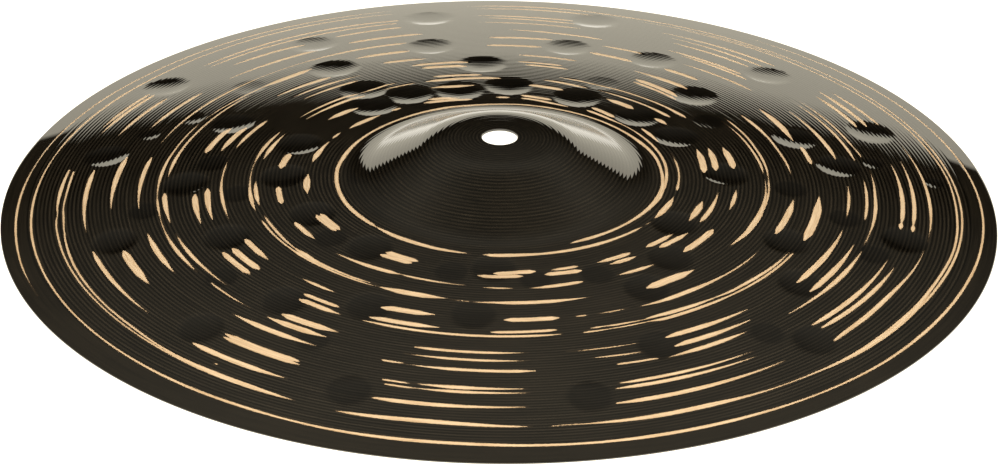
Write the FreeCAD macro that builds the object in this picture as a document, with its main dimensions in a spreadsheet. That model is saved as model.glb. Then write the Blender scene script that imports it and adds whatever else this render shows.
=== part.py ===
"""Crash cymbal, 14 inch: one disc of cast and rolled bronze with a bow, a bell and a centre hole.

The plate lies with its rim on the XY plane and its bell up.  The origin is the centre of the rim's plane, +Z
is the cymbal's axis, and every length is in millimetres.
"""
import FreeCAD, Part
import math
import os
import Sketcher

# Driving dimensions: alias, value, what it is.
DIMENSIONS = [
    ("plate_diameter", 355.6, "across the rim, 14 inches"),
    ("hole_diameter", 12.7, "centre hole, half an inch, for the stand's sleeve"),
    ("full_height", 33.1, "top of the crown's curve above the rim's plane"),
    ("crown_radius", 236.0, "curve of the bell's flattish top in section"),
    ("shoulder_radius", 28.0, "round between the crown and the bell's flank"),
    ("flank_slope", 27.3, "fall of the bell's flank, in degrees"),
    ("root_radius", 25.0, "hollow round between the flank and the bow, on top"),
    ("bell_diameter", 101.6, "across the bell where its flank would meet the bow"),
    ("bow_height", 17.9, "top of the bow above the rim's plane, where that is"),
    ("bow_radius", 850.0, "curve of the bow in section"),
    ("plate_thickness", 1.0, "metal from the hole to the foot of the bell"),
    ("rim_thickness", 0.8, "metal at the rim, to which the bow tapers, and which is fully rounded"),
    ("hole_break", 0.15, "broken edge at both mouths of the centre hole"),
]

UP = FreeCAD.Vector(0, 0, 1)
FULL_TURN = 360
START, END, CENTRE = 1, 2, 3
ORIGIN = (-1, START)
AXIS_LINE = -2


def make_sheet(doc):
    """The spreadsheet of driving dimensions."""
    sheet = doc.addObject("Spreadsheet::Sheet", "dimensions")
    for row, (alias, value, meaning) in enumerate(DIMENSIONS, start=1):
        sheet.set(f"A{row}", alias)
        sheet.set(f"B{row}", str(value))
        sheet.set(f"C{row}", meaning)
        sheet.setAlias(f"B{row}", alias)
    doc.recompute()
    return sheet


def origin_plane(body, role):
    """One of a body's own origin planes."""
    return next(item for item in body.Origin.OriginFeatures if item.Role == role)


def swing(first, second, radius):
    """The arc of a radius that turns anticlockwise from one point (x, y) to another."""
    first = FreeCAD.Vector(*first)
    second = FreeCAD.Vector(*second)
    chord = second - first
    inward = UP.cross(chord).normalize()
    depth = math.sqrt(max(radius ** 2 - (chord.Length / 2) ** 2, 0))
    centre = (first + second) * 0.5 + inward * depth
    begin = math.atan2(first.y - centre.y, first.x - centre.x)
    finish = math.atan2(second.y - centre.y, second.x - centre.x)
    return Part.ArcOfCircle(Part.Circle(centre, UP, radius), begin, finish)


def draw_section(sketch, sheet):
    """The half section, near enough to its sizes for the constraints to settle it.

    Both faces run from the hole outwards: crown, shoulder, flank, root, bow.  Returns each line's number by
    name.
    """
    hole = sheet.hole_diameter / 2
    rim = (sheet.plate_diameter - sheet.rim_thickness) / 2
    foot = sheet.bell_diameter / 2
    fall = math.tan(math.radians(sheet.flank_slope))
    corner = foot - (sheet.full_height - sheet.bow_height) / fall
    reach = sheet.root_radius / 4
    lean = rim / sheet.bow_radius
    edge = Part.Circle(FreeCAD.Vector(rim, sheet.rim_thickness / 2), UP, sheet.rim_thickness / 2)
    rim_round = Part.ArcOfCircle(edge, -math.pi / 2 - lean, math.pi / 2 - lean)
    lines = {}
    for side, depth, bow_foot in (
        ("top", 0, rim_round.EndPoint),
        ("under", sheet.plate_thickness, rim_round.StartPoint),
    ):
        base = sheet.bow_height - depth
        mouth = (hole, sheet.full_height - depth)
        crown_end = (corner, sheet.full_height - depth - corner ** 2 / (2 * sheet.crown_radius))
        flank_reach = foot - corner - sheet.shoulder_radius / 4
        flank_head = (foot - flank_reach, base + flank_reach * fall)
        flank_foot = (foot - reach, base + reach * fall)
        bow_head = (foot + reach, base - reach * sheet.bow_height / (rim - foot) / 2)
        lines[f"crown_{side}"] = swing(crown_end, mouth, sheet.crown_radius - depth)
        lines[f"shoulder_{side}"] = swing(flank_head, crown_end, sheet.shoulder_radius - depth)
        lines[f"flank_{side}"] = Part.LineSegment(FreeCAD.Vector(*flank_head), FreeCAD.Vector(*flank_foot))
        lines[f"root_{side}"] = swing(flank_foot, bow_head, sheet.root_radius + depth)
        lines[f"bow_{side}"] = swing((bow_foot.x, bow_foot.y), bow_head, sheet.bow_radius)
    lines["rim"] = rim_round
    lines["hole_wall"] = Part.LineSegment(lines["crown_under"].EndPoint, lines["crown_top"].EndPoint)
    return dict(zip(lines, sketch.addGeometry(list(lines.values()), False)))


def constrain_section(sketch, lines):
    """Join the section's lines, smooth everywhere but at the hole, and bind its sizes to the spreadsheet."""
    def tie(kind, *what):
        return sketch.addConstraint(Sketcher.Constraint(kind, *what))

    def value_of(formula):
        value = sketch.evalExpression(formula)
        return getattr(value, "Value", value)

    def bind(name, formula, kind, *what):
        """A dimension that follows the spreadsheet; it starts at the formula's value."""
        number = tie(kind, *what, value_of(formula))
        sketch.renameConstraint(number, name)
        sketch.setExpression(f"Constraints.{name}", formula)

    # The rim and the bow are settled first, so that each side of the bow stays on its own side of the rim.
    bind("rim_round", "dimensions.rim_thickness / 2", "Radius", lines["rim"])
    bind("rim_rise", "dimensions.rim_thickness / 2", "DistanceY", *ORIGIN, lines["rim"], CENTRE)
    bind("rim_reach", "(dimensions.plate_diameter - dimensions.rim_thickness) / 2",
         "DistanceX", *ORIGIN, lines["rim"], CENTRE)
    bind("bow_curve", "dimensions.bow_radius", "Radius", lines["bow_top"])
    tie("Equal", lines["bow_top"], lines["bow_under"])
    feet = {}
    for side, rim_end, height in (
        ("top", END, "dimensions.bow_height"),
        ("under", START, "dimensions.bow_height - dimensions.plate_thickness"),
    ):
        spot = FreeCAD.Vector(value_of("dimensions.bell_diameter / 2"), value_of(height))
        foot = sketch.addGeometry(Part.Point(spot), True)
        bind(f"foot_reach_{side}", "dimensions.bell_diameter / 2", "DistanceX", *ORIGIN, foot, START)
        bind(f"foot_height_{side}", height, "DistanceY", *ORIGIN, foot, START)
        tie("PointOnObject", foot, START, lines[f"bow_{side}"])
        tie("Tangent", lines[f"bow_{side}"], START, lines["rim"], rim_end)
        feet[side] = foot

    for side in ("top", "under"):
        crown, shoulder, flank, root, bow = (
            lines[f"{part}_{side}"] for part in ("crown", "shoulder", "flank", "root", "bow"))
        tie("Tangent", crown, START, shoulder, END)
        tie("Tangent", shoulder, START, flank, START)
        tie("Tangent", flank, END, root, START)
        tie("Tangent", root, END, bow, END)
    tie("PointOnObject", feet["top"], START, lines["flank_top"])
    tie("Coincident", lines["hole_wall"], START, lines["crown_under"], END)
    tie("Coincident", lines["hole_wall"], END, lines["crown_top"], END)
    tie("Vertical", lines["hole_wall"])
    tie("PointOnObject", lines["crown_top"], CENTRE, AXIS_LINE)
    tie("Coincident", lines["crown_under"], CENTRE, lines["crown_top"], CENTRE)
    tie("Coincident", lines["shoulder_under"], CENTRE, lines["shoulder_top"], CENTRE)
    tie("Parallel", lines["flank_under"], lines["flank_top"])

    bind("hole_radius", "dimensions.hole_diameter / 2", "DistanceX", *ORIGIN, lines["hole_wall"], START)
    bind("root_curve", "dimensions.root_radius", "Radius", lines["root_top"])
    bind("root_under_curve", "dimensions.root_radius + dimensions.plate_thickness",
         "Radius", lines["root_under"])
    bind("shoulder_curve", "dimensions.shoulder_radius", "Radius", lines["shoulder_top"])
    bind("crown_curve", "dimensions.crown_radius", "Radius", lines["crown_top"])
    bind("crown_under_curve", "dimensions.crown_radius - dimensions.plate_thickness",
         "Radius", lines["crown_under"])
    bind("crown_sink", "dimensions.crown_radius - dimensions.full_height",
         "DistanceY", lines["crown_top"], CENTRE, *ORIGIN)

    number = tie("Angle", lines["flank_top"], -math.radians(value_of("dimensions.flank_slope")))
    sketch.renameConstraint(number, "flank_fall")
    sketch.setExpression("Constraints.flank_fall", "-dimensions.flank_slope * 1 deg")


def make_cymbal(doc, sheet):
    """The plate: its section turned about the axis, then the hole's two edges broken."""
    body = doc.addObject("PartDesign::Body", "cymbal")
    body.Label = "cymbal"
    section = body.newObject("Sketcher::SketchObject", "plate_section")
    section.AttachmentSupport = [(origin_plane(body, "XZ_Plane"), "")]
    section.MapMode = "FlatFace"
    lines = draw_section(section, sheet)
    constrain_section(section, lines)

    plate = body.newObject("PartDesign::Revolution", "plate")
    plate.Profile = section
    plate.ReferenceAxis = (section, ["V_Axis"])
    plate.Angle = FULL_TURN
    doc.recompute()

    hole_radius = sheet.hole_diameter / 2
    mouths = [f"Edge{number}" for number, edge in enumerate(plate.Shape.Edges, start=1)
              if isinstance(edge.Curve, Part.Circle) and abs(edge.Curve.Radius - hole_radius) < 1e-6]
    edges = body.newObject("PartDesign::Chamfer", "hole_edges")
    edges.Base = (plate, mouths)
    edges.setExpression("Size", "dimensions.hole_break")
    body.Tip = edges
    body.Placement = FreeCAD.Placement()
    return body


def check(doc, bodies):
    """Stop if any object failed or any body isn't one sound solid of a plausible size."""
    for item in doc.Objects:
        if {"Invalid", "Error"} & set(item.State):
            raise RuntimeError(f"{item.Name} failed: {item.State}")
    for body in bodies:
        shape = body.Shape
        if shape.isNull() or not shape.isValid() or len(shape.Solids) != 1:
            raise RuntimeError(f"{body.Label} isn't one valid solid")
        box = shape.optimalBoundingBox()
        print(f"{body.Label}: {box.XLength:.2f} x {box.YLength:.2f} x {box.ZLength:.2f} mm,"
              f" from z {box.ZMin:.3f}, volume {shape.Volume / 1000:.2f} cm3")


def main():
    doc = FreeCAD.newDocument("crash_cymbal")
    sheet = make_sheet(doc)
    bodies = [make_cymbal(doc, sheet)]
    doc.recompute()
    check(doc, bodies)
    os.makedirs("parts", exist_ok=True)
    for body in bodies:
        body.Shape.exportStep(f"parts/{body.Label}.step")


main()
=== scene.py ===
import math

import bpy
import numpy as np
from mathutils import Matrix, Vector


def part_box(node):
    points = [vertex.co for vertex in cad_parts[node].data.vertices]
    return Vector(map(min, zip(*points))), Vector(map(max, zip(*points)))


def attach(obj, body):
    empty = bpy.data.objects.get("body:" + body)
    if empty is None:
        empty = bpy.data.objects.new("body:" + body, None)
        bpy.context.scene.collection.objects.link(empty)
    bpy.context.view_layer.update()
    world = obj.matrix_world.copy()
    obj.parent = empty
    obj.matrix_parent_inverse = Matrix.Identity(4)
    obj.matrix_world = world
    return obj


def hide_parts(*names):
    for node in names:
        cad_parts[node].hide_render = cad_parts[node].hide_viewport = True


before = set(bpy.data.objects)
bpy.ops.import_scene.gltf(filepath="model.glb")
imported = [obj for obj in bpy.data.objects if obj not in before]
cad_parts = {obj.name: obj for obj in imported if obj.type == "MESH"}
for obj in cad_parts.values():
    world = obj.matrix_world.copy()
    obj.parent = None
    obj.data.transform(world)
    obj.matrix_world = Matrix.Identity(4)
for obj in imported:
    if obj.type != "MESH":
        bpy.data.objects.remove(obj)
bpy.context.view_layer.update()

# The cymbal's looks.  The plate's lengths are in millimetres until its mesh is made.  Lights, camera
# and table are in metres.  An angle round the plate is in degrees from its front (-Y), anticlockwise as
# seen from above.
MM = 0.001
RIM_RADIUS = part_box("cymbal")[1][0] / MM

# The plate's section, from the hole outwards: radius and slope of the top.  Between two points the sine
# of the slope changes evenly with the radius, so each stretch is an arc or a straight flank.
SECTION = [(0.0, 0.0), (17.8, 4.33), (28.5, 27.3), (46.1, 27.3), (56.0, 3.73), (177.5, 12.01)]
# The hole and the size of its broken edges, where the bell ends, and the metal's thickness.
HOLE_RADIUS = 6.35
BREAK = 0.15
BELL_RADIUS = 54.5
BELL_THICKNESS = 1.0
RIM_THICKNESS = 0.8
# How many steps the height is added up in, and the least number that is divided by.
HEIGHT_STEPS = 8000
NEARLY_ZERO = 1e-6

# Lathe lines: the width of one turn and its steepest slope, on the bell, on the bow and underneath, and
# where the top's lines stop near the rim.
BELL_PITCH = 1.29
BELL_LINE_SLOPE = 4.2
BOW_PITCH = 1.45
BOW_LINE_SLOPE = 2.7
UNDER_PITCH = 2.9
UNDER_LINE_SLOPE = 1.8
LINES_END = 168.5
# Lines differ in strength, and each one swells and fades a little round the plate.  Part of their
# relief is the same for all.  Their crests are a lighter brown, part wear and part painted highlight;
# on the bell that tone varies less, round a darker middle.
LINE_SEED = 7
LINE_STRENGTHS = (0.5, 1.15)
LINE_SWELL = 0.15
EVEN_RELIEF = 0.7
BELL_LINE_TONE = 0.5
BELL_LINE_DROP = 0.2
# Beside a scrape the lines reach their full height at this distance.
LINE_FADE = 0.3

# The mesh: columns round the plate, rows in one lathe line, and rows of the smooth band, the rim and
# the hole's wall.
COLUMNS = 576
ROWS_PER_LINE = 4
BAND_ROWS = 25
RIM_ROWS = 8
HOLE_ROWS = 5
# Where the top, the rim, the underside and the hole's wall lie along the bake map.
TOP_STRIP = (0.01, 0.65)
RIM_STRIP = (0.66, 0.67)
UNDER_STRIP = (0.67, 0.98)
HOLE_STRIP = (0.985, 1.0)
# Faces that meet at a larger angle than this have a sharp edge between them.
SHARP_ANGLE = 30

# Hammer marks: hollows left by a round hammer, read from the photograph as (angle, radius).  The
# deep, light and small ones each have a width and a slope at their edge.  A mark is deepest a little
# towards the bell, by this share of half its width.
MARK_LEAN = 0.3
MARK_WIDTH = 17.5
MARK_EDGE_SLOPE = 6.2
DEEP_MARKS = [
    (-170, 155), (-151, 143.5), (-127, 154), (-103.2, 146), (-75.5, 140), (-46.3, 141.5), (-20, 148),
    (12.5, 146), (47.5, 148.5), (79.5, 146), (113.3, 147), (136, 142.5), (167, 156), (-167.5, 120),
    (-117, 109), (-91, 112), (58, 124.5), (101, 124.5), (112, 115.5), (152.5, 121.5), (168, 120),
    (-147.5, 114), (-41, 113), (26.5, 125), (136, 102), (-176, 97), (-67, 104), (-26, 102),
    (33.5, 93.5), (69, 108.5), (-5, 98), (-153.5, 74.5), (-168, 71), (-145.5, 88), (-141, 73),
    (-110, 77), (-91, 77), (-66.5, 72), (-40, 70.5), (-1.5, 69), (46.5, 83), (61.5, 70.5), (94.5, 81),
    (118.3, 72), (135, 70.5), (156.5, 70.5), (177.5, 74.5),
]
LIGHT_MARK_WIDTH = 13.0
LIGHT_MARK_EDGE_SLOPE = 1.5
LIGHT_MARKS = [
    (-132, 124), (123.5, 91), (82, 124), (-84, 94), (9.8, 77), (25.8, 79), (155, 88), (-13, 73),
    (-52, 75), (-99, 104), (90, 104), (-55, 118), (43, 136), (-30, 127), (-83, 127), (73, 138),
]
SMALL_MARK_WIDTH = 8.5
SMALL_MARK_EDGE_SLOPE = 4.0
SMALL_MARKS = [(-110.3, 135.5), (-117.2, 125.3), (102.6, 138), (98, 158)]

# Rings and scrapes were read from the photograph too.  Rings are where the lathe tool took the
# dark skin off in one long pass: (angle, radius, width) along each.
RINGS = [
    [(-168, 164.5, 0), (-160, 165.5, 1.0), (-150, 166, 1.2), (-140, 165.4, 0.8), (-130, 165, 1.0),
     (-120, 165.3, 1.2), (-110, 165.7, 1.0), (-104, 165.9, 0.5), (-98, 166.2, 0.7), (-92, 166.5, 1.0),
     (-85, 166.8, 1.0), (-75, 167, 0.8), (-60, 167.4, 0.7), (-50, 167.7, 0.8), (-40, 168, 1.2),
     (-30, 168.2, 1.4), (-25, 168.5, 1.0), (-20, 168.8, 1.2), (-12, 168.8, 1.8), (-4, 168.7, 1.8),
     (3, 169.2, 1.5), (10, 169.6, 1.2), (18, 169.8, 1.8), (28, 170, 1.6), (38, 170.5, 0.8),
     (50, 171, 1.0), (60, 171, 1.4), (70, 171.4, 1.2), (80, 172.2, 1.0), (90, 172.8, 0.9),
     (100, 172.9, 0.8), (110, 172.6, 0.8), (125, 172, 0.8), (140, 171.8, 0.7), (150, 171.8, 0)],
    [(-168, 169, 0), (-160, 169.5, 0.8), (-150, 170, 1.0), (-140, 170, 0.9), (-130, 169.8, 0.8),
     (-120, 170.5, 0.9), (-110, 171, 0.6), (-101, 171.3, 0.5), (-95, 171.7, 0.9), (-90, 172, 1.0),
     (-82, 172.5, 0.9), (-75, 173, 0.6), (-68, 173.2, 0)],
    [(-99.7, 157, 0.8), (-97, 157.1, 1.3), (-93, 157.3, 1.6), (-89, 157.5, 0.9), (-86.5, 157.4, 0.4),
     (-85, 157.8, 0.7), (-80, 158, 0.8), (-60, 157.9, 0.6), (-52, 157.9, 0.6), (-45, 158.1, 0.8),
     (-40, 158.3, 1.2), (-34, 158.4, 0)],
    [(-99, 155, 0.8), (-96, 154.8, 1.0), (-92, 154.9, 0.8), (-88, 155.3, 0.6), (-85.5, 155.2, 0.9),
     (-82, 155.5, 0.6), (-75, 156.2, 1.0), (-60, 156.5, 0.7), (-54, 156.5, 0.9), (-48, 157.1, 0.7),
     (-44, 157.5, 1.2), (-38, 157.8, 2.6), (-32, 158, 2.4), (-28, 158.4, 1.2), (-25.5, 158.7, 0)],
    [(-20.5, 159.4, 0), (-18, 159.2, 1.4), (-14, 158.8, 2.2), (-8, 158.4, 2.6), (-3, 158.8, 2.0),
     (2, 159.5, 1.0), (4.3, 159.7, 0)],
    [(6.3, 160, 0), (7, 159.8, 0.5), (11, 159.8, 0.5), (14, 160, 1.4), (20, 160.2, 2.4),
     (27, 160.2, 2.4), (31, 160.6, 1.4), (35, 161, 0.7), (38, 161.1, 0.5), (42, 161.3, 0.7),
     (46, 161.7, 1.2), (50, 162, 2.0), (55, 162, 2.6), (60, 162, 2.8), (64, 162.1, 2.4),
     (68, 161.8, 1.4), (72, 162.1, 1.2), (80, 163.2, 1.0), (85, 163.4, 1.0), (90, 163.4, 0.9),
     (100, 163.7, 0.7), (110, 163.3, 0.8), (120, 162.8, 0.9), (130, 161.8, 0.7), (140, 161.8, 0.9),
     (150, 161.9, 0.7), (158, 162.2, 0)],
    [(62, 162.8, 0), (66, 163.1, 1.0), (70, 163.4, 1.1), (75, 164, 1.1), (80, 164.6, 1.0),
     (85, 165, 0.9), (95, 165.3, 0.8), (105, 165.2, 0.8), (115, 165, 0.8), (125, 164.7, 0.8),
     (135, 164.6, 0.7), (145, 165.2, 0.8), (155, 165.8, 0.9), (165, 166.5, 1.0), (170, 168, 1.2),
     (175, 168.8, 1.4), (180, 169.3, 1.2), (185, 169.3, 0)],
    [(138, 163.4, 0), (145, 163.5, 0.7), (152, 163.2, 0.6), (160, 163, 0.4), (163, 163, 0)],
    [(167.5, 163.2, 0), (170, 163.8, 1.4), (175, 164.8, 1.6), (180, 165.3, 1.0), (184, 165.3, 0)],
    [(-165.7, 155.2, 1.0), (-160, 156.3, 1.4), (-153, 157, 1.4), (-145, 156.6, 1.4), (-138, 156.1, 1.0),
     (-133.5, 156, 0)],
    [(-165, 151.8, 1.0), (-158, 152.6, 1.3), (-150, 153, 1.2), (-143, 153.2, 1.3), (-138, 153, 1.0),
     (-134, 152.8, 0)],
    [(49.6, 152.4, 1.2), (52, 151.9, 1.8), (57, 151.6, 2.2), (63, 151.5, 2.0), (67, 151.9, 1.4),
     (70, 152.5, 0.9), (74, 153.1, 0.6), (78.5, 153.5, 0)],
    [(74.5, 133.3, 0), (76, 133.3, 0.5), (79, 133.5, 0.4), (82, 133.8, 1.0), (87, 134.1, 1.6),
     (92, 134.3, 1.2), (96, 134.8, 0.6), (100.5, 135.2, 0)],
    [(104.3, 134.8, 0), (105.5, 134.9, 0.8), (108, 134.6, 0.5), (110, 134.5, 1.0), (118, 134.8, 1.0),
     (126.5, 135, 0)],
    [(-164.3, 126.5, 0), (-162.5, 126.6, 1.8), (-157, 127.2, 1.8), (-150, 127.5, 1.2),
     (-145, 127.5, 0.6), (-136, 127.5, 0.5), (-130, 127.5, 1.0), (-122, 127.8, 1.2), (-115, 128, 0.9),
     (-107, 128.1, 0)],
    [(-118, 120.6, 0), (-112, 120.8, 0.7), (-104, 121, 0.8), (-100, 121.3, 1.2), (-95, 121.5, 1.4),
     (-91, 121.7, 0.7), (-87, 121.8, 0.4), (-85, 121.8, 1.0), (-83, 121.7, 1.0), (-80, 121.8, 0.4),
     (-75, 122, 0.4), (-71, 122.1, 1.2), (-67, 122.1, 1.8), (-63, 122.1, 1.2), (-59, 122.2, 0)],
    [(-130, 118, 0), (-124, 118, 0.8), (-112, 118.1, 1.0), (-105, 118.4, 1.1), (-100, 118.6, 1.6),
     (-97, 118.7, 1.0), (-94, 118.8, 0)],
    [(-144.8, 119.6, 0), (-142, 119, 3.0), (-137, 118.9, 3.0), (-133.5, 119.3, 0.8), (-127, 119.6, 0.7),
     (-121, 120.2, 0.6), (-117, 120.6, 0)],
    [(15, 110.9, 0), (16, 110.9, 1.0), (18.5, 110.9, 0.8), (20, 110.9, 0.5), (24, 111.1, 0.8),
     (28, 111.3, 0.5), (30, 111.8, 1.6), (35, 112, 1.8), (41, 112.2, 1.5), (46, 112.5, 0.8),
     (52, 112.8, 1.1), (60, 113.1, 1.0), (65, 113.2, 0.8), (66.2, 113.2, 0)],
    [(16.8, 109, 0), (18, 109, 1.0), (19.8, 109, 0.4), (21, 109.2, 1.0), (24, 109.4, 1.0),
     (27.2, 109.6, 0.3), (29, 109.4, 1.4), (33, 109.6, 2.2), (38, 109.9, 1.8), (43, 110.3, 0.5),
     (46, 110.7, 1.2), (52, 111, 1.6), (60, 111.7, 1.2), (65.8, 111.9, 0)],
    [(28.3, 102, 0), (31, 102.3, 1.0), (35, 102.4, 2.2), (40, 102.3, 2.4), (45, 102.5, 1.6),
     (50, 102.7, 0.8), (58, 102.9, 0.6), (62.7, 102.9, 0)],
    [(96, 104.9, 0), (100, 105, 0.8), (103, 104.9, 0.9), (107, 104.8, 1.0), (112, 105.1, 1.1),
     (118, 105.3, 1.8), (121, 105.4, 1.6), (124.5, 105.6, 0)],
    [(-100.5, 98.8, 0), (-97, 98.8, 0.6), (-92, 98.9, 0.6), (-87, 99, 1.2), (-82, 99, 1.5),
     (-78, 99.1, 0.9), (-73.5, 99.2, 0)],
    [(60, 93.2, 0), (63, 93.6, 1.2), (67, 94.2, 2.0), (72, 94.4, 2.6), (77, 94.7, 2.4), (81, 94.7, 1.2),
     (86, 94.9, 0.8), (93.5, 94.9, 0)],
    [(79, 95.6, 0), (82, 95.5, 1.0), (86, 95.9, 0.8), (91, 96.1, 0.7), (94.5, 96.3, 0.3),
     (98, 96.6, 0.9), (103, 96.8, 1.1), (108, 96.9, 0.9), (113, 97.4, 1.0), (120, 97.8, 0.9),
     (124, 98, 0)],
    [(95.5, 94.8, 0), (99, 95, 1.1), (107, 95, 1.0), (114, 95.3, 0.8), (122.5, 95.5, 0)],
    [(-117, 87.8, 0), (-112, 88, 1.2), (-107, 88.3, 1.8), (-102, 88.5, 1.0), (-99, 88.6, 0.4),
     (-93, 88.7, 0.4), (-88, 88.8, 0.7), (-83, 89, 1.5), (-80, 89.1, 1.8), (-77, 89.2, 1.0),
     (-74.3, 89.2, 0)],
    [(-70.5, 89, 0), (-68, 89.1, 1.0), (-60, 89.3, 0.8), (-54, 89.4, 0.8), (-51, 89.4, 1.6),
     (-46, 89.5, 1.2), (-40, 89.6, 1.0), (-32, 89.8, 0.8), (-28, 89.9, 0)],
    [(-72, 87.2, 0), (-69, 87.3, 1.0), (-63, 87.5, 1.2), (-58, 87.9, 1.0), (-54, 88.1, 0.5),
     (-52, 88.1, 1.6), (-50, 88.2, 2.4), (-46, 88.4, 1.4), (-40, 88.5, 1.0), (-33, 88.8, 0.8),
     (-28, 88.9, 0)],
    [(127, 84.9, 0), (129, 85, 1.8), (131, 85, 2.0), (135, 85.2, 1.2), (142, 85.3, 1.0),
     (150, 85.5, 1.0), (157, 85.7, 0.9), (161, 86.2, 1.4), (166.5, 86.8, 0)],
    [(129.3, 80, 0), (131, 80, 2.0), (134, 80.1, 1.8), (138, 80.3, 1.1), (148, 80.5, 1.1),
     (154.5, 80.9, 0)],
    [(156, 80.6, 0), (160, 81, 1.8), (166, 82, 1.8), (169.3, 82.4, 0)],
    [(81, 63.7, 0), (83, 63.7, 1.2), (86, 63.8, 0.9), (90, 64, 0.7), (100, 64.3, 0.8), (108, 64.5, 0)],
    [(116, 63.8, 0), (119, 63.9, 1.4), (123, 64.1, 2.0), (126, 64.3, 1.4), (128, 64.5, 0)],
    [(-190, 57, 1.3), (-180, 56.6, 1.2), (-170, 56.4, 1.5), (-160, 56.8, 1.9), (-150, 56.8, 1.6),
     (-140, 56.7, 1.2), (-120, 57, 1.3), (-110, 57.2, 1.8), (-104, 57.3, 2.0), (-96, 57.8, 1.5),
     (-88, 58, 1.7), (-78, 58.2, 1.7), (-68, 58.5, 1.8), (-57, 58.6, 2.0), (-50, 58.7, 1.6),
     (-47, 58.8, 0.5), (-44, 58.9, 1.4), (-38, 59.2, 2.3), (-30, 59.4, 2.4), (-22, 59.8, 2.0),
     (-14, 60, 1.3), (-9.3, 60.2, 0)],
    [(-5.5, 60.2, 0), (-3, 60.3, 1.8), (3, 60.4, 2.6), (8, 60.5, 2.2), (14, 60.8, 1.6), (25, 61.3, 2.0),
     (35, 61.8, 2.0), (42, 62.2, 1.4), (50, 62.6, 1.2), (53.5, 62.8, 0)],
    [(54, 62.9, 0), (56, 63, 0.5), (58, 63.1, 0)],
    [(25.5, 57.2, 0), (28, 57, 1.2), (33, 57, 2.1), (40, 57.2, 1.6), (50, 57.5, 1.3), (60, 57.8, 1.6),
     (68, 58.2, 2.0), (74, 58.5, 2.5), (80, 58.5, 2.0), (84, 58.3, 1.4), (90, 58.1, 1.4),
     (97, 57.9, 1.2), (105, 57.9, 1.4), (112, 57.7, 1.6), (118, 57.3, 1.9), (125, 57.1, 1.3),
     (135, 57, 1.2), (150, 57, 1.1), (160, 56.9, 1.2), (170, 57, 1.3)],
    [(79, 59.4, 0), (83, 59.3, 1.0), (90, 59.5, 1.3), (98, 60, 1.2), (108, 60.3, 1.1), (120, 60.5, 1.2),
     (129, 60.7, 0.6), (133, 60.7, 0.6), (138, 60.6, 1.2), (143, 61, 1.7), (148, 61.5, 1.6),
     (149.7, 61.7, 0)],
    [(155, 60.8, 0), (158, 60.9, 1.2), (163, 61.5, 1.8), (168, 62.4, 1.8), (172, 62.9, 1.5),
     (173.5, 63, 0)],
    [(176.5, 63, 0), (178, 63, 1.8), (180, 63.1, 1.8), (181.5, 63.2, 0)],
]

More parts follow.
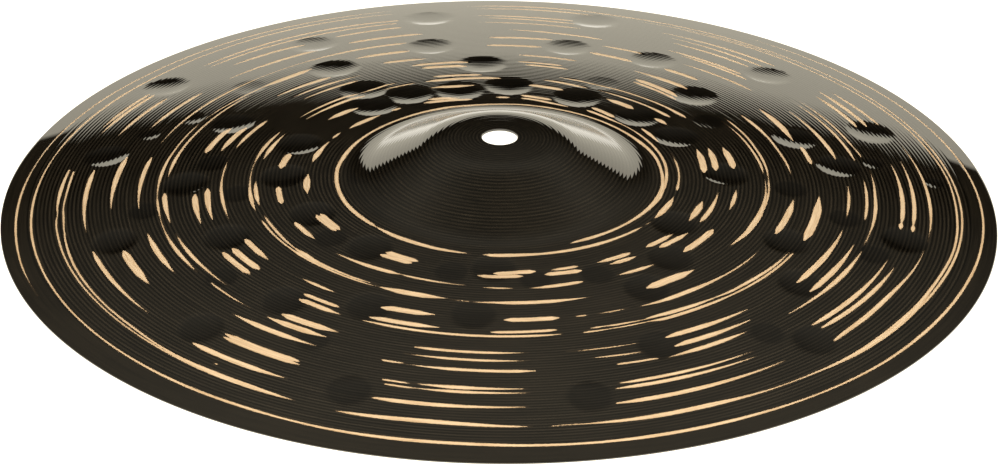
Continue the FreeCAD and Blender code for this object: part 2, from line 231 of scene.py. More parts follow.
# Short scrapes between the hammer marks: (first angle, last angle, first radius, last radius, width,
# ends).  Each end is b, blunt, p, pointed, or t, a long thin tail.
SCRAPES = [
    (15.3, 41, 151, 150.9, 2.3, "bt"), (16.3, 38, 143.4, 144.1, 2.0, "bt"),
    (17, 38.5, 140.8, 141.3, 1.7, "bt"), (50.2, 71.7, 145, 146.6, 2.0, "bp"),
    (49.7, 73, 141.9, 143.2, 2.2, "bt"), (18, 24.9, 130.7, 131.3, 1.1, "bb"),
    (25.7, 41, 131.9, 131.4, 2.2, "pp"), (14.5, 23.6, 125.4, 126.5, 0.8, "pp"),
    (28.4, 43.5, 126.9, 127, 2.6, "bt"), (11, 23.6, 120.6, 121.3, 0.6, "pp"),
    (28.3, 45, 121.3, 121.9, 2.6, "bt"), (49.3, 73.5, 132.4, 133.6, 2.2, "tp"),
    (57, 74.3, 129.2, 129.9, 2.6, "bt"), (57.8, 78, 122.8, 124.2, 2.6, "bt"),
    (80.3, 110, 153.8, 154.2, 1.4, "pt"), (82.5, 84, 147.9, 147.8, 1.8, "bb"),
    (83.8, 104, 147.7, 149.1, 1.7, "bt"), (82.5, 84.1, 143.5, 143.5, 1.8, "bb"),
    (83.9, 103, 143.6, 144.8, 1.9, "bt"), (82.7, 97.2, 130.7, 131.5, 1.2, "bp"),
    (82, 94, 124.2, 124.9, 1.2, "pp"), (103.2, 126.5, 131.5, 132.3, 1.3, "bt"),
    (103.8, 123, 124.6, 125.2, 1.9, "bt"), (101.3, 108.5, 114.2, 114.5, 1.9, "bb"),
    (111, 125.5, 113.9, 115.6, 3.0, "pp"), (115.5, 127.8, 153.3, 152.8, 1.4, "bp"),
    (115.2, 128.5, 148, 148.8, 2.0, "bp"), (115.2, 127, 143.8, 144.5, 2.0, "bp"),
    (71.3, 89, 113.5, 113.9, 3.6, "bp"), (138, 158, 152.5, 153.9, 1.7, "bt"),
    (138.8, 155.5, 147.6, 150, 1.5, "bt"), (140, 154.5, 143, 144.8, 1.6, "bp"),
    (138.3, 153.5, 134, 135.6, 1.8, "bp"), (136.3, 150.5, 131.4, 133.4, 1.6, "bp"),
    (132.3, 148.5, 124.8, 125.4, 1.3, "bp"), (155.3, 163, 125.7, 126.4, 1.6, "bp"),
    (141, 148.5, 115.3, 115.8, 2.4, "bb"), (155, 163.6, 115.2, 116.9, 2.4, "bb"),
    (169.5, 184, 153, 156, 1.5, "bp"), (169.3, 183, 149.3, 152.8, 1.5, "bp"),
    (168, 184, 144, 147, 1.1, "bp"), (163.3, 179.5, 133.6, 137.2, 1.6, "bp"),
    (171.3, 182, 127, 127.2, 2.0, "bb"), (172.5, 182.5, 117.5, 117.8, 2.2, "bb"),
    (-25.3, 11.5, 110, 110.5, 1.5, "bb"), (-1.5, 11, 108, 107.8, 1.7, "bb"),
    (1.2, 12, 100.7, 100.9, 2.7, "bb"), (14.8, 18, 101.2, 101.3, 0.8, "pp"),
    (19.5, 26.5, 101.5, 101.6, 0.6, "pp"), (-5.5, 20.6, 90.2, 91.1, 2.3, "pp"),
    (33.8, 47, 92.8, 93.6, 4.0, "bp"), (-4, 4, 81.2, 81.6, 0.9, "pp"),
    (7.5, 21.1, 81.9, 81.4, 2.1, "pb"), (30, 41.3, 82.1, 82.8, 1.9, "pp"),
    (51, 64.5, 83.3, 83.4, 3.0, "bb"), (-5.5, 6.5, 73.7, 74.1, 2.5, "bb"),
    (12.7, 22.7, 74, 74.7, 2.7, "bb"), (30.7, 39.9, 74.9, 75.3, 2.2, "pp"),
    (48, 59.6, 75.8, 77.3, 2.4, "bp"), (-1.4, 10.3, 71.6, 71.5, 2.7, "bb"),
    (14.3, 22.6, 71.7, 71.8, 1.7, "pb"), (28, 39.3, 72.1, 72.4, 2.3, "pb"),
    (45.2, 56.3, 72.8, 73.6, 2.3, "bp"), (70.8, 86.1, 103.2, 104.9, 2.7, "bp"),
    (75.5, 86.8, 84, 84.4, 1.7, "pp"), (66.2, 84, 77.5, 78.2, 2.0, "bt"),
    (65, 77.8, 73.7, 73.8, 2.9, "pp"), (60, 77, 62.9, 63.5, 2.6, "pp"),
    (98.2, 109.8, 84.6, 85, 3.1, "bp"), (97, 109.8, 77.9, 79.5, 2.8, "bp"),
    (95, 109.6, 73.3, 75, 3.0, "bp"), (139.5, 152.5, 105.2, 106.4, 2.7, "bt"),
    (138, 149.8, 96.6, 99, 2.9, "bb"), (136.5, 149.6, 93.6, 96.2, 1.7, "bb"),
    (126, 131.7, 74.7, 74.8, 2.5, "pp"), (139.7, 149.3, 74.6, 75.2, 3.2, "bp"),
    (162.3, 172, 75, 76.2, 2.6, "bb"), (139, 149.1, 63.2, 64.9, 2.4, "bb"),
    (163.2, 173.3, 64.3, 65.6, 2.3, "bb"), (165, 174.6, 96, 96.9, 1.7, "bb"),
    (166.5, 176.2, 98.9, 99.8, 1.5, "bb"), (164.5, 176.3, 105.9, 107.2, 1.5, "bb"),
    (-74.5, -55, 148.2, 148, 1.8, "bt"), (-98.8, -80, 147.3, 148.1, 2.0, "bt"),
    (-102.5, -85.5, 137.4, 138.3, 2.4, "bt"), (-72.3, -61, 138.4, 138.8, 3.4, "bp"),
    (-102.2, -84, 128, 128.5, 1.9, "bt"), (-76, -61.3, 127.9, 128.6, 2.4, "pp"),
    (-88.3, -77, 119.2, 119, 2.1, "bt"), (-73.5, -52, 118.9, 119, 1.6, "pt"),
    (-55.3, -44, 122.1, 123, 0.8, "bt"), (-39.3, -38.4, 153.5, 153.4, 0.7, "bb"),
    (-44.8, -28.5, 149.1, 149.2, 2.6, "bp"), (-42.3, -28.8, 140.6, 140.8, 2.0, "bb"),
    (-42.4, -29, 138.9, 139.3, 2.6, "bb"), (-45.5, -28.7, 129, 129.2, 2.7, "pp"),
    (-40.5, -28.2, 123.5, 123.4, 3.1, "pp"), (-38.6, -27, 119.4, 119.4, 3.3, "bp"),
    (-16.7, 4.2, 149.6, 149.5, 2.3, "bt"), (-16, -11, 141.6, 141.9, 1.0, "bp"),
    (-12, 4.6, 141.8, 142, 1.8, "pt"), (-16.5, -12, 139.4, 139.6, 1.0, "bp"),
    (-12, 4.2, 139.4, 139.8, 2.2, "pt"), (-18, -14, 129.2, 129.3, 1.0, "bp"),
    (-14, 5.8, 129.6, 130.2, 1.8, "pb"), (-15, 5, 123.9, 124.4, 1.5, "pp"),
    (-14, 5, 119.6, 119.9, 1.6, "bp"), (-62.3, -52.4, 109.1, 109.2, 2.6, "bb"),
    (-62.4, -52.3, 105.1, 105.2, 3.0, "bb"), (-64.3, -53.8, 98.8, 99.3, 2.6, "bp"),
    (-39.2, -29.4, 108.9, 110, 2.5, "bp"), (-39.5, -31, 105.8, 106.4, 1.9, "bb"),
    (-24.3, -10.3, 107.2, 107, 2.7, "bp"), (-43.5, -34.3, 99.2, 99.5, 1.5, "pp"),
    (-23.7, -12.2, 100.2, 99.9, 3.2, "bp"), (-28, -11.3, 89.7, 89.5, 3.2, "pp"),
    (-11, -5, 90, 90.1, 0.4, "pp"), (-45, -25.6, 80.3, 79.8, 2.2, "tb"),
    (-25, -8, 79.8, 80.5, 1.2, "bt"), (-64.8, -54, 79.4, 79.4, 2.3, "bp"),
    (-35.2, -25, 71.6, 71.8, 2.7, "bb"), (-34.5, -23.8, 69.4, 69.9, 2.8, "bb"),
    (-65.8, -54, 70.6, 70.6, 2.4, "bb"), (-65.8, -53.8, 68.9, 69.3, 2.6, "bb"),
    (-115, -103.5, 107.5, 108.7, 2.7, "bb"), (-116, -104, 102, 103.4, 2.6, "bp"),
    (-120, -105.5, 97.5, 98.6, 1.8, "bp"), (-86.3, -74.3, 108.4, 109.1, 2.6, "bt"),
    (-88, -74.7, 103.8, 104.7, 2.5, "bt"), (-115, -100.3, 85.3, 85.9, 2.1, "tp"),
    (-89.6, -76.3, 86.7, 87.1, 1.8, "pp"), (-104, -95.8, 77.5, 78.4, 3.1, "bb"),
    (-85, -75.6, 78.8, 79.3, 2.4, "bb"), (-121, -115.5, 66.8, 66.9, 1.3, "pp"),
    (-114, -98.3, 66.9, 67.7, 2.6, "tp"), (-91.5, -78.4, 68.1, 69.3, 2.9, "pp"),
    (-124.3, -112, 155.4, 156.3, 1.5, "bp"), (-124.2, -110, 153, 154.7, 1.8, "bp"),
    (-123.4, -109.5, 146, 147.2, 1.7, "bp"), (-126.8, -112, 136.4, 137.4, 1.7, "bp"),
    (-165.5, -155, 146, 146.3, 1.6, "bb"), (-150.2, -136.8, 145.7, 146.7, 1.8, "bp"),
    (-167.5, -155.5, 135.4, 136.4, 2.0, "bb"), (-150.3, -133, 135.9, 136.8, 2.0, "bt"),
    (-163.3, -152.8, 117, 118.6, 2.6, "bp"), (-165.5, -156.5, 106.5, 108.4, 2.2, "pb"),
    (-144.5, -131, 107, 108.4, 2.2, "bt"), (-173.2, -161.3, 99.8, 101, 2.2, "bb"),
    (-150, -132, 101.2, 102.4, 1.6, "tt"), (-172.5, -162.8, 95.6, 97.2, 2.8, "bb"),
    (-147.5, -133, 97.2, 97.8, 1.6, "bt"), (-175.5, -163.7, 85.5, 87.1, 2.0, "bb"),
    (-155, -143.5, 87, 87, 1.2, "pp"), (-143.5, -124, 87, 87.8, 1.5, "bt"),
    (-180, -161, 81.9, 83.3, 2.4, "bb"), (-159.5, -148.5, 83.5, 83.6, 1.0, "pp"),
    (-144, -124, 83.6, 84.8, 2.0, "bt"), (-173.5, -160, 75.5, 76.8, 2.4, "pp"),
    (-137.8, -126.3, 76, 77.3, 3.0, "pp"), (-167.3, -157, 64.5, 66.4, 2.5, "pb"),
    (-170.5, -154.6, 61.9, 64.2, 2.5, "bb"), (-146.6, -142.5, 64.8, 64.9, 1.7, "pp"),
    (-138.3, -124, 64.6, 65.9, 2.6, "pp"),
]
# The shape of a scrape's end: the share of its width right at the end, and the share of its length to
# full width.
SCRAPE_ENDS = {"b": (0.25, 0.13), "p": (0.0, 0.33), "t": (0.1, 0.55)}
# Two ends that together are longer than the first share are both shortened to the second.
ENDS_TOGETHER = 0.9
TAIL_SHARE = 0.8
# A scrape is a shallow hollow across its width, this steep at its edges, and flatter where it is very
# thin.
SCRAPE_EDGE_SLOPE = 6.0
THIN_SCRAPE = 0.2
# The skin knows how far it is from a scrape's edge up to this distance.
FIELD_REACH = 2.0
# The widths above were read with the glow round each scrape.  Its bare metal is this share of that.
SCRAPE_WIDTH_SHARE = 0.84

# Where the camera stands, read from the photograph: its angle above the plate's plane, its distance,
# the lens that fills the frame, a small roll, and the point it looks at.
CAMERA_ELEVATION = 27.56
CAMERA_DISTANCE = 2.54
CAMERA_LENS = 256.0
CAMERA_ROLL = 0.516
CAMERA_AIM = Vector((0.0004, 0.0, -0.0052))
# The sensor's width in millimetres, and how far the camera sees in metres.
CAMERA_SENSOR = 36
CAMERA_REACH = 400


def slope_of_top(radius):
    """The top's slope, as a tangent, whose sine changes evenly between two points of SECTION."""
    knots = [point[0] for point in SECTION]
    sines = [math.sin(math.radians(point[1])) for point in SECTION]
    sine = np.interp(radius, knots, sines)
    return sine / np.sqrt(1 - sine * sine)


def height_of_top(radius):
    """The top's height over the table: its slope added up in small steps, from the rim's own height."""
    steps = np.linspace(0, SECTION[-1][0], HEIGHT_STEPS)
    slope = slope_of_top(steps)
    rise = np.concatenate([[0], np.cumsum((slope[1:] + slope[:-1]) / 2 * np.diff(steps))])
    rim_top = RIM_THICKNESS / 2 * (1 + math.cos(math.atan(slope[-1])))
    return rim_top + rise[-1] - np.interp(radius, steps, rise)


def thickness_at(radius):
    """The plate's upright thickness: even on the bell, and thinner towards the rim."""
    level = np.interp(radius, [BELL_RADIUS, SECTION[-1][0]], [BELL_THICKNESS, RIM_THICKNESS])
    return level * np.sqrt(1 + slope_of_top(radius) ** 2)


def lathe_rows(start, end, pitch, slope):
    """A stretch of whole lathe lines: its radii, the wave from -1 to 1, and half the wave's height."""
    lines = round((end - start) / pitch)
    count = lines * ROWS_PER_LINE
    step = np.arange(count)
    radii = start + (end - start) * step / count
    height = math.tan(math.radians(slope)) * pitch / (2 * math.pi)
    return radii, np.sin(2 * math.pi * step / ROWS_PER_LINE), np.full(count, height)


def wrap(angle):
    """An angle difference brought to -180 to 180 degrees."""
    return (angle + 180) % 360 - 180


def hammered(radii, angles):
    """How far the hammer pushed the plate down, and the depth in a mark from 0 to 1, which sets the
    painted shade in the marks.
    """
    dent = np.zeros((len(radii), len(angles)))
    # The depth share in each mark is kept for the painted shade in the marks.
    mark_shade = np.zeros_like(dent)
    for marks, width, edge_slope in (
        (DEEP_MARKS, MARK_WIDTH, MARK_EDGE_SLOPE),
        (LIGHT_MARKS, LIGHT_MARK_WIDTH, LIGHT_MARK_EDGE_SLOPE),
        (SMALL_MARKS, SMALL_MARK_WIDTH, SMALL_MARK_EDGE_SLOPE),
    ):
        reach = width / 2
        depth = math.tan(math.radians(edge_slope)) * reach / 2
        for angle, radius in marks:
            turn = np.radians(wrap(angles - angle))
            rows = np.flatnonzero(np.abs(radii - radius) < reach)
            columns = np.flatnonzero(np.abs(turn) * (radius - reach) < 2 * reach)
            around = radii[rows, None] * np.sin(turn[None, columns]) / reach
            outward = (radii[rows, None] * np.cos(turn[None, columns]) - radius) / reach
            away = np.hypot(around, outward + MARK_LEAN)
            steer = MARK_LEAN * (outward + MARK_LEAN)
            edge = np.sqrt(steer ** 2 + away ** 2 * (1 - MARK_LEAN ** 2)) + steer
            share = away ** 2 / np.maximum(edge, NEARLY_ZERO)
            hollow = np.clip(1 - share ** 2, 0, None)
            window = np.ix_(rows, columns)
            dent[window] += depth * hollow
            mark_shade[window] = np.maximum(mark_shade[window], hollow)
    return dent, mark_shade


def ring_path(points, at):
    """A ring's radius and half its width at the angles given, smooth through its points."""
    knots, radii, widths = (np.array(column, float) for column in zip(*points))
    at = np.clip(at, knots[0], knots[-1])
    tangents = np.gradient(radii, knots)
    index = np.clip(np.searchsorted(knots, at, side="right") - 1, 0, len(knots) - 2)
    stretch = knots[index + 1] - knots[index]
    t = (at - knots[index]) / stretch
    rise = radii[index + 1] - radii[index]
    first = t * (1 - t) ** 2 * (tangents[index] * stretch)
    last = -t * t * (1 - t) * (tangents[index + 1] * stretch)
    centre = radii[index] + rise * t * t * (3 - 2 * t) + first + last
    return centre, np.interp(at, knots, widths) * SCRAPE_WIDTH_SHARE / 2


def scrape_points(first, last, inner, outer, width, ends):
    """A scrape as a ring's points: each end blunt, pointed or a long thin tail."""
    near_width, near = SCRAPE_ENDS[ends[0]]
    far_width, far = SCRAPE_ENDS[ends[1]]
    if near + far > ENDS_TOGETHER:
        near, far = near * TAIL_SHARE, far * TAIL_SHARE
    shares = [0.0, near, 1 - far, 1.0]
    scale = [near_width, 1.0, 1.0, far_width]
    return [
        (first + (last - first) * share, inner + (outer - inner) * share, width * part)
        for share, part in zip(shares, scale)
    ]


def scraped(radii, angles):
    """Where the skin is off: how far inside a scrape's edge, and how deep the tool went."""
    inside = np.full((len(radii), len(angles)), -FIELD_REACH)
    cut = np.zeros_like(inside)
    edge = math.tan(math.radians(SCRAPE_EDGE_SLOPE))
    for points in RINGS + [scrape_points(*scrape) for scrape in SCRAPES]:
        middle = (points[0][0] + points[-1][0]) / 2
        reach = (points[-1][0] - points[0][0]) / 2
        widest = max(point[2] for point in points)
        inner = min(point[1] for point in points) - FIELD_REACH - widest
        outer = max(point[1] for point in points) + FIELD_REACH + widest
        local = wrap(angles - middle)
        beyond = np.abs(local) - reach
        columns = np.flatnonzero(beyond * inner < math.degrees(FIELD_REACH))
        rows = np.flatnonzero((radii > inner) & (radii < outer))
        centre, half = ring_path(points, middle + local[columns])
        across = radii[rows, None] - centre[None, :]
        past = np.radians(np.clip(beyond[columns], 0, None))[None, :] * radii[rows, None]
        away = np.hypot(across, past)
        window = np.ix_(rows, columns)
        inside[window] = np.maximum(inside[window], half[None, :] - away)
        hollow = edge * (half[None, :] ** 2 - away ** 2) / (2 * half[None, :] + THIN_SCRAPE)
        cut[window] = np.maximum(cut[window], hollow)
    return inside, cut


def along(strip, share):
    """A place in a strip of the bake map."""
    return strip[0] + (strip[1] - strip[0]) * share


def plate_mesh():
    """The plate as one closed skin, in rows from the hole over the top, round the rim and back below."""
    angles = np.arange(COLUMNS) * 360 / COLUMNS - 180
    turn = np.radians(angles)

    start = HOLE_RADIUS + BREAK
    end = SECTION[-1][0]
    bell, bell_wave, bell_height = lathe_rows(start, BELL_RADIUS, BELL_PITCH, BELL_LINE_SLOPE)
    bow, bow_wave, bow_height = lathe_rows(BELL_RADIUS, LINES_END, BOW_PITCH, BOW_LINE_SLOPE)
    band = np.linspace(LINES_END, end, BAND_ROWS)
    top_radii = np.concatenate([bell, bow, band])
    wave = np.concatenate([bell_wave, bow_wave, np.zeros(len(band))])
    wave_height = np.concatenate([bell_height, bow_height, np.zeros(len(band))])

    picker = np.random.default_rng(LINE_SEED)
    lines = np.arange(len(top_radii)) // ROWS_PER_LINE
    strength = picker.uniform(*LINE_STRENGTHS, lines[-1] + 1)[lines]
    drift = picker.uniform(0, 360, lines[-1] + 1)[lines]
    uneven = 1 + LINE_SWELL * np.sin(np.radians(2 * angles[None, :] + drift[:, None]))
    on_bell = top_radii < BELL_RADIUS
    # This tone lightens each line's crest in the colour: part wear, part painted highlight.
    tone = (wave * strength * np.where(on_bell, BELL_LINE_TONE, 1.0))[:, None] * uneven
    tone -= np.where(on_bell, BELL_LINE_DROP, 0.0)[:, None]
    relief = EVEN_RELIEF + (1 - EVEN_RELIEF) * strength
    wave = (wave * wave_height * relief)[:, None] * uneven

    inside, cut = scraped(top_radii, angles)
    kept = np.clip(-inside / LINE_FADE, 0, 1)
    dent, mark_shade_top = hammered(top_radii, angles)
    top = height_of_top(top_radii)[:, None] + wave * kept - cut - dent

    under, under_wave, under_height = lathe_rows(start, end, UNDER_PITCH, UNDER_LINE_SLOPE)
    under = under[::-1]
    under_level = height_of_top(under) - thickness_at(under) + (under_wave * under_height)[::-1]
    bottom = under_level[:, None] - hammered(under, angles)[0]

    rim_slope = math.atan(slope_of_top(end))
    sweep = math.pi / 2 - rim_slope - math.pi * np.arange(1, RIM_ROWS) / RIM_ROWS
    rim_half = RIM_THICKNESS / 2
    rim_radii = end - rim_half * math.sin(rim_slope) + rim_half * np.cos(sweep)
    rim = np.repeat((rim_half + rim_half * np.sin(sweep))[:, None], COLUMNS, axis=1)

    hole_top = float(height_of_top(HOLE_RADIUS))
    hole_under = hole_top - BELL_THICKNESS
    hole_levels = np.linspace(hole_under + BREAK, hole_top - BREAK, HOLE_ROWS)
    hole = np.repeat(hole_levels[:, None], COLUMNS, axis=1)

    radii = np.concatenate([top_radii, rim_radii, under, np.full(HOLE_ROWS, HOLE_RADIUS)])
    heights = np.concatenate([top, rim, bottom, hole])
    sideways = radii[:, None] * np.sin(turn)[None, :]
    forwards = -radii[:, None] * np.cos(turn)[None, :]
    places = np.stack([sideways, forwards, heights], axis=-1)

    bare = np.full(heights.shape, -FIELD_REACH)
    bare[: len(top_radii)] = inside
    line = np.zeros(heights.shape)
    line[: len(top_radii)] = tone
    # The painted shade of the hammer marks, on the top only.
    mark_shade = np.zeros(heights.shape)
    mark_shade[: len(top_radii)] = mark_shade_top
    width = RIM_RADIUS - HOLE_RADIUS
    shares = np.concatenate([
        along(TOP_STRIP, (top_radii - HOLE_RADIUS) / width),
        along(RIM_STRIP, np.arange(len(rim_radii)) / len(rim_radii)),
        along(UNDER_STRIP, (RIM_RADIUS - under) / width),
        along(HOLE_STRIP, np.arange(HOLE_ROWS) / HOLE_ROWS),
    ])
    return places * MM, {"bare": bare, "line": line, "mark_shade": mark_shade}, shares


def skin(name, places, fields, shares):
    """A closed grid of quads from rows of places, with named numbers at its points and a bake map."""
    rows, columns = places.shape[:2]
    mesh = bpy.data.meshes.new(name)
    mesh.vertices.add(rows * columns)
    mesh.vertices.foreach_set("co", places.reshape(-1))
    row, column = np.meshgrid(np.arange(rows), np.arange(columns), indexing="ij")
    corners = [(row, column), (row + 1, column), (row + 1, column + 1), (row, column + 1)]
    loops = np.stack([(r % rows) * columns + c % columns for r, c in corners], axis=-1)
    mesh.loops.add(loops.size)
    mesh.loops.foreach_set("vertex_index", loops.reshape(-1).astype(np.int32))
    mesh.polygons.add(rows * columns)
    mesh.polygons.foreach_set("loop_start", np.arange(0, loops.size, 4, dtype=np.int32))
    shares = np.append(shares, 1.0)
    spots = np.stack([np.stack([c / columns, shares[r]], axis=-1) for r, c in corners], axis=-2)
    mesh.uv_layers.new(name="OFBake").data.foreach_set("uv", spots.reshape(-1).astype(np.float32))
    for field, values in fields.items():
        attribute_data = mesh.attributes.new(field, "FLOAT", "POINT").data
        attribute_data.foreach_set("value", values.reshape(-1).astype(np.float32))
    mesh.update(calc_edges=True)
    mesh.validate()
    mesh.set_sharp_from_angle(angle=math.radians(SHARP_ANGLE))
    piece = bpy.data.objects.new(name, mesh)
    bpy.context.collection.objects.link(piece)
    return piece


def link(tree, source, target):
    """Join two sockets."""
    tree.links.new(source, target)


def node(tree, kind, **values):
    """A shader node with its plain settings."""
    made = tree.nodes.new(kind)
    for name, value in values.items():
        setattr(made, name, value)
    return made


def math_node(tree, operation, first, second=0.0):
    """The result of a sum on two sockets or numbers."""
    made = node(tree, "ShaderNodeMath", operation=operation)
    for socket, value in zip(made.inputs, (first, second)):
        if isinstance(value, bpy.types.NodeSocket):
            link(tree, value, socket)
        else:
            socket.default_value = value
    return made.outputs[0]


def span(tree, value, low, high, to_low, to_high):
    """A value's range moved to another one, and held inside it."""
    made = node(tree, "ShaderNodeMapRange")
    link(tree, value, made.inputs["Value"])
    for name, number in zip(("From Min", "From Max", "To Min", "To Max"), (low, high, to_low, to_high)):
        made.inputs[name].default_value = number
    return made.outputs[0]


def mix_colour(tree, share, first, second):
    """The first colour, turned into the second by a share."""
    made = node(tree, "ShaderNodeMix", data_type="RGBA")
    for socket, value in zip((made.inputs[0], made.inputs[6], made.inputs[7]), (share, first, second)):
        if isinstance(value, bpy.types.NodeSocket):
            link(tree, value, socket)
        else:
            socket.default_value = (*value, 1.0)
    return made.outputs[2]


def noise(tree, place, scale, detail):
    """Noise from 0 to 1, mostly near 0.5."""
    made = node(tree, "ShaderNodeTexNoise")
    link(tree, place, made.inputs["Vector"])
    made.inputs["Scale"].default_value = scale
    made.inputs["Detail"].default_value = detail
    return made.outputs[0]


def turned_noise(tree, around, across, detail):
    """Noise drawn out round the plate, as the streaks of a lathe."""
    place = node(tree, "ShaderNodeTexCoord").outputs["Object"]
    parts = node(tree, "ShaderNodeSeparateXYZ")
    link(tree, place, parts.inputs[0])
    squares = math_node(
        tree, "ADD",
        math_node(tree, "MULTIPLY", parts.outputs[0], parts.outputs[0]),
        math_node(tree, "MULTIPLY", parts.outputs[1], parts.outputs[1]),
    )
    radius = math_node(tree, "SQRT", squares)
    joined = node(tree, "ShaderNodeCombineXYZ")
    for axis in (0, 1):
        share = math_node(tree, "DIVIDE", parts.outputs[axis], radius)
        link(tree, math_node(tree, "MULTIPLY", share, around), joined.inputs[axis])
    link(tree, math_node(tree, "MULTIPLY", radius, across), joined.inputs[2])
    return noise(tree, joined.outputs[0], 1.0, detail)


def attribute(tree, name):
    """A number that the mesh keeps at each of its points."""
    return node(tree, "ShaderNodeAttribute", attribute_name=name).outputs["Fac"]


# The dark skin, nearly black and glossy, and the bare bronze under it.
SKIN_DARK = (0.0020, 0.0017, 0.0011)
SKIN_BROWN = (0.029, 0.022, 0.0134)
# Painted shade, near black, laid in the hollows of the hammer marks.
SKIN_MARK_SHADE = (0.0006, 0.0005, 0.0004)
BRONZE_LIGHT = (0.92, 0.68, 0.42)
BRONZE_DEEP = (0.62, 0.39, 0.19)
SCRAPE_SHADE = (0.10, 0.062, 0.030)
SKIN_ROUGHNESS = 0.02
SKIN_IOR = 1.9
BRONZE_ROUGHNESS = 0.38
BRONZE_METALLIC = 0.32
# Gloss varies between these shares of it.
SKIN_GLOSS = (0.8, 1.3)
BRONZE_GLOSS = (0.85, 1.2)

# Lathe streaks: how fine they are round the plate and across it, and their detail.  Patches: scale and
# detail.
STREAKS = (6.0, 2400.0, 3.0)
FINE_STREAKS = (14.0, 7000.0, 2.0)
RAGGED = (160.0, 2600.0, 2.0)
PATCHES = (28.0, 3.0)
# The part of a noise's range that turns one look into another.
NOISE_MIDDLE = (0.3, 0.7)
WEAR_AND_HIGHLIGHT_STREAKS = (0.35, 0.65)
BROWN_PATCHES = (0.42, 0.7)
BRONZE_STREAKS = (0.38, 0.62)
LIGHT_STREAKS = (0.3, 0.6)

# The skin: a lathe line's tone where its crest is plain and fully lightened, part wear and part painted
# highlight, the share left in a dark streak, the brown of a patch, and how deep in a hammer mark the
# painted shade is full and how dark that makes it.
CREST_TONES = (-0.5, 0.9)
LEAST_WEAR_AND_HIGHLIGHT = 0.4
PATCH_SHARE = 0.10
MARK_SHADE_DEPTH = 0.4
MARK_SHADE_SHARE = 0.55
# A scrape's edge, from outside to inside in millimetres: its raggedness, where the skin is rubbed and
# how much, where the metal comes bare, and where the painted shade of darker bronze along the edge
# fades to the light bronze and how dark it starts.
EDGE_WANDER = 0.06
RUBBED_EDGE = (-0.35, 0.0)
RUBBED_SHARE = 0.25
BARE_EDGE = (-0.04, 0.06)
SHADED_EDGE = (0.05, 0.45)
EDGE_SHADE_SHARE = 0.65
# How much light streaks lighten the bare metal.
LIGHT_SHARE = 0.5
# The fine streaks' relief on the bare metal: the bump's strength, and its depth in metres.
BUMP_STRENGTH = 0.5
BUMP_DEPTH = 0.00002


def bronze_material():
    """Dark, glossy skin with bare bronze where the tool took it off, both with the lathe's streaks,
    painted shade in the hammer marks and along the scrapes' edges, and a painted highlight on the lathe
    lines' crests.
    """
    material = bpy.data.materials.new("darkened_bronze")
    material.use_nodes = True
    tree = material.node_tree
    shader = tree.nodes["Principled BSDF"]
    place = node(tree, "ShaderNodeTexCoord").outputs["Object"]
    streaks = turned_noise(tree, *STREAKS)
    fine_streaks = turned_noise(tree, *FINE_STREAKS)
    ragged = turned_noise(tree, *RAGGED)
    patches = noise(tree, place, *PATCHES)

    wander = span(tree, ragged, *NOISE_MIDDLE, -EDGE_WANDER, EDGE_WANDER)
    edge = math_node(tree, "ADD", attribute(tree, "bare"), wander)
    bare = span(tree, edge, *BARE_EDGE, 0.0, 1.0)

    # Lathe-line crests turned a lighter brown: part wear, part painted highlight.
    crest = span(tree, attribute(tree, "line"), *CREST_TONES, 0.0, 1.0)
    worn_and_highlit = math_node(tree, "MULTIPLY", crest, span(tree, streaks, *WEAR_AND_HIGHLIGHT_STREAKS, LEAST_WEAR_AND_HIGHLIGHT, 1.0))
    patchy = span(tree, patches, *BROWN_PATCHES, 0.0, PATCH_SHARE)
    # Painted shade in the hammer marks: the skin goes near black where a mark is deep.
    mark_shade = span(tree, attribute(tree, "mark_shade"), 0.0, MARK_SHADE_DEPTH, 0.0, MARK_SHADE_SHARE)
    rubbed = math_node(tree, "MULTIPLY", span(tree, edge, *RUBBED_EDGE, 0.0, 1.0), RUBBED_SHARE)
    skin_colour = mix_colour(tree, worn_and_highlit, SKIN_DARK, SKIN_BROWN)
    skin_colour = mix_colour(tree, patchy, skin_colour, SKIN_BROWN)
    skin_colour = mix_colour(tree, mark_shade, skin_colour, SKIN_MARK_SHADE)
    skin_colour = mix_colour(tree, rubbed, skin_colour, SCRAPE_SHADE)

    streaky = span(tree, fine_streaks, *BRONZE_STREAKS, 0.0, 1.0)
    lighter = span(tree, streaks, *LIGHT_STREAKS, LIGHT_SHARE, 0.0)
    # Painted shade: the bare bronze goes darker along the edge of the scrape's shallow hollow.
    edge_shade = span(tree, edge, *SHADED_EDGE, EDGE_SHADE_SHARE, 0.0)
    bronze_colour = mix_colour(tree, streaky, BRONZE_DEEP, BRONZE_LIGHT)
    bronze_colour = mix_colour(tree, lighter, bronze_colour, BRONZE_LIGHT)
    bronze_colour = mix_colour(tree, edge_shade, bronze_colour, BRONZE_DEEP)
    link(tree, mix_colour(tree, bare, skin_colour, bronze_colour), shader.inputs["Base Color"])

    link(tree, math_node(tree, "MULTIPLY", bare, BRONZE_METALLIC), shader.inputs["Metallic"])
    skin_gloss = span(tree, patches, *NOISE_MIDDLE, *(SKIN_ROUGHNESS * share for share in SKIN_GLOSS))
    bronze_gloss = span(
        tree, fine_streaks, *NOISE_MIDDLE, *(BRONZE_ROUGHNESS * share for share in BRONZE_GLOSS)
    )
    gloss = node(tree, "ShaderNodeMix", data_type="FLOAT")
    for index, value in ((0, bare), (2, skin_gloss), (3, bronze_gloss)):
        link(tree, value, gloss.inputs[index])
    link(tree, gloss.outputs[0], shader.inputs["Roughness"])
    shader.inputs["IOR"].default_value = SKIN_IOR

    bump = node(tree, "ShaderNodeBump")
    bump.inputs["Strength"].default_value = BUMP_STRENGTH
    bump.inputs["Distance"].default_value = BUMP_DEPTH
    link(tree, math_node(tree, "MULTIPLY", fine_streaks, bare), bump.inputs["Height"])
    link(tree, bump.outputs[0], shader.inputs["Normal"])
    return material


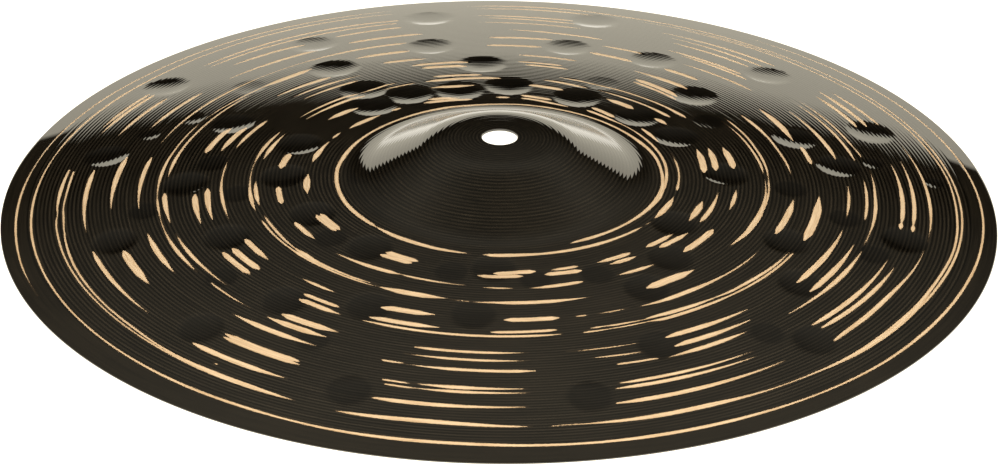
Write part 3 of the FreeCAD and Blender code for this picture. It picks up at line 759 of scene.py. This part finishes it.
# The table: its size and its drop below the rim, in metres, its own matt grey, and the warm light it
# gives off.
FLOOR_SIZE = 160.0
FLOOR_DROP = 0.0005
FLOOR_GREY = (0.12, 0.12, 0.12, 1.0)
FLOOR_ROUGHNESS = 0.9
FLOOR_GLOW = (1.0, 0.94, 0.80, 1.0)
FLOOR_GLOW_STRENGTH = 1.75


def floor():
    """A large pale table that glows evenly and runs out to the bright paper round it."""
    half = FLOOR_SIZE / 2
    mesh = bpy.data.meshes.new("table")
    corners = [(-half, -half), (half, -half), (half, half), (-half, half)]
    mesh.from_pydata([(x, y, -FLOOR_DROP) for x, y in corners], [], [(0, 1, 2, 3)])
    table = bpy.data.objects.new("table", mesh)
    bpy.context.collection.objects.link(table)
    material = bpy.data.materials.new("pale_table")
    material.use_nodes = True
    shader = material.node_tree.nodes["Principled BSDF"]
    shader.inputs["Base Color"].default_value = FLOOR_GREY
    shader.inputs["Roughness"].default_value = FLOOR_ROUGHNESS
    shader.inputs["Specular IOR Level"].default_value = 0.0
    shader.inputs["Emission Color"].default_value = FLOOR_GLOW
    shader.inputs["Emission Strength"].default_value = FLOOR_GLOW_STRENGTH
    mesh.materials.append(material)


# The studio: bright from the table up to a paper edge, and dark above, with a dim ceiling that fades
# again overhead.  The edge is lowest straight behind the plate, and a little higher on the right than
# on the left.  Heights and slants are sines of the angle above the table.
PAPER_EDGE = 0.254
PAPER_RISE = 0.155
PAPER_RISE_END = 0.45
PAPER_SLANT = 0.08
PAPER_BLUR = 0.004
PAPER_COLOUR = (1.0, 0.93, 0.75, 1.0)
BRIGHT_LEVEL = 1.30
CEILING_DARK = 0.002
CEILING_LEVEL = 0.15
CEILING_RANGE = (0.38, 0.74)
OVERHEAD_RANGE = (0.8, 1.0)
OVERHEAD_SHARE = 0.35


def studio():
    """Bright paper low round the room, as in a photographer's tent, under a dark ceiling."""
    world = bpy.data.worlds.new("studio")
    bpy.context.scene.world = world
    world.use_nodes = True
    tree = world.node_tree
    background = tree.nodes["Background"]
    parts = node(tree, "ShaderNodeSeparateXYZ")
    link(tree, node(tree, "ShaderNodeTexCoord").outputs["Generated"], parts.inputs[0])
    sideways, _, height = parts.outputs
    distance = math_node(tree, "MINIMUM", math_node(tree, "ABSOLUTE", sideways), PAPER_RISE_END)
    rise = math_node(tree, "MULTIPLY", distance, PAPER_RISE)
    slant = math_node(tree, "MULTIPLY", sideways, PAPER_SLANT)
    above = math_node(tree, "SUBTRACT", math_node(tree, "SUBTRACT", height, rise), slant)
    paper = span(tree, above, PAPER_EDGE - PAPER_BLUR, PAPER_EDGE + PAPER_BLUR, BRIGHT_LEVEL, 0.0)
    ceiling = span(tree, height, *CEILING_RANGE, CEILING_DARK, CEILING_LEVEL)
    overhead = span(tree, height, *OVERHEAD_RANGE, 1.0, OVERHEAD_SHARE)
    level = math_node(tree, "ADD", paper, math_node(tree, "MULTIPLY", ceiling, overhead))
    link(tree, level, background.inputs["Strength"])
    background.inputs["Color"].default_value = PAPER_COLOUR


# Soft boxes on the camera's side: (angle from the front, angle above the table, distance, width, depth,
# power).  They light the plate and aren't mirrored in it, which keeps burnt-out patches off the glossy
# skin.
SOFT_BOXES = [
    (0, 37, 2.2, 2.4, 0.8, 112),
    (-60, 45, 2.2, 1.2, 0.8, 4),
    (60, 45, 2.2, 1.2, 0.8, 4),
]


def soft_box(turn, lift, distance, width, depth, power):
    """A wide soft box that looks at the plate."""
    light = bpy.data.lights.new("soft_box", "AREA")
    light.shape = "RECTANGLE"
    light.size = width
    light.size_y = depth
    light.energy = power
    lamp = bpy.data.objects.new("soft_box", light)
    bpy.context.collection.objects.link(lamp)
    flat = distance * math.cos(math.radians(lift))
    lamp.location = (
        flat * math.sin(math.radians(turn)),
        -flat * math.cos(math.radians(turn)),
        distance * math.sin(math.radians(lift)),
    )
    lamp.rotation_euler = (-Vector(lamp.location)).to_track_quat("-Z", "Y").to_euler()
    lamp.visible_camera = False
    lamp.visible_glossy = False


def camera():
    """The photograph's camera: in front of the plate, above it, and turned by a small roll."""
    lens = bpy.data.cameras.new("camera")
    lens.lens = CAMERA_LENS
    lens.sensor_width = CAMERA_SENSOR
    lens.clip_end = CAMERA_REACH
    eye = bpy.data.objects.new("camera", lens)
    bpy.context.collection.objects.link(eye)
    lift = math.radians(CAMERA_ELEVATION)
    eye.location = (0, -CAMERA_DISTANCE * math.cos(lift), CAMERA_DISTANCE * math.sin(lift))
    look = (CAMERA_AIM - eye.location).to_track_quat("-Z", "Y").to_matrix()
    eye.rotation_euler = (look @ Matrix.Rotation(math.radians(CAMERA_ROLL), 3, "Z")).to_euler()
    bpy.context.scene.camera = eye


plate = skin("cymbal_plate", *plate_mesh())
plate.data.materials.append(bronze_material())
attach(plate, "root")
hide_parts("cymbal")

floor()
studio()
for box in SOFT_BOXES:
    soft_box(*box)
camera()
bpy.context.scene.view_settings.view_transform = "Standard"
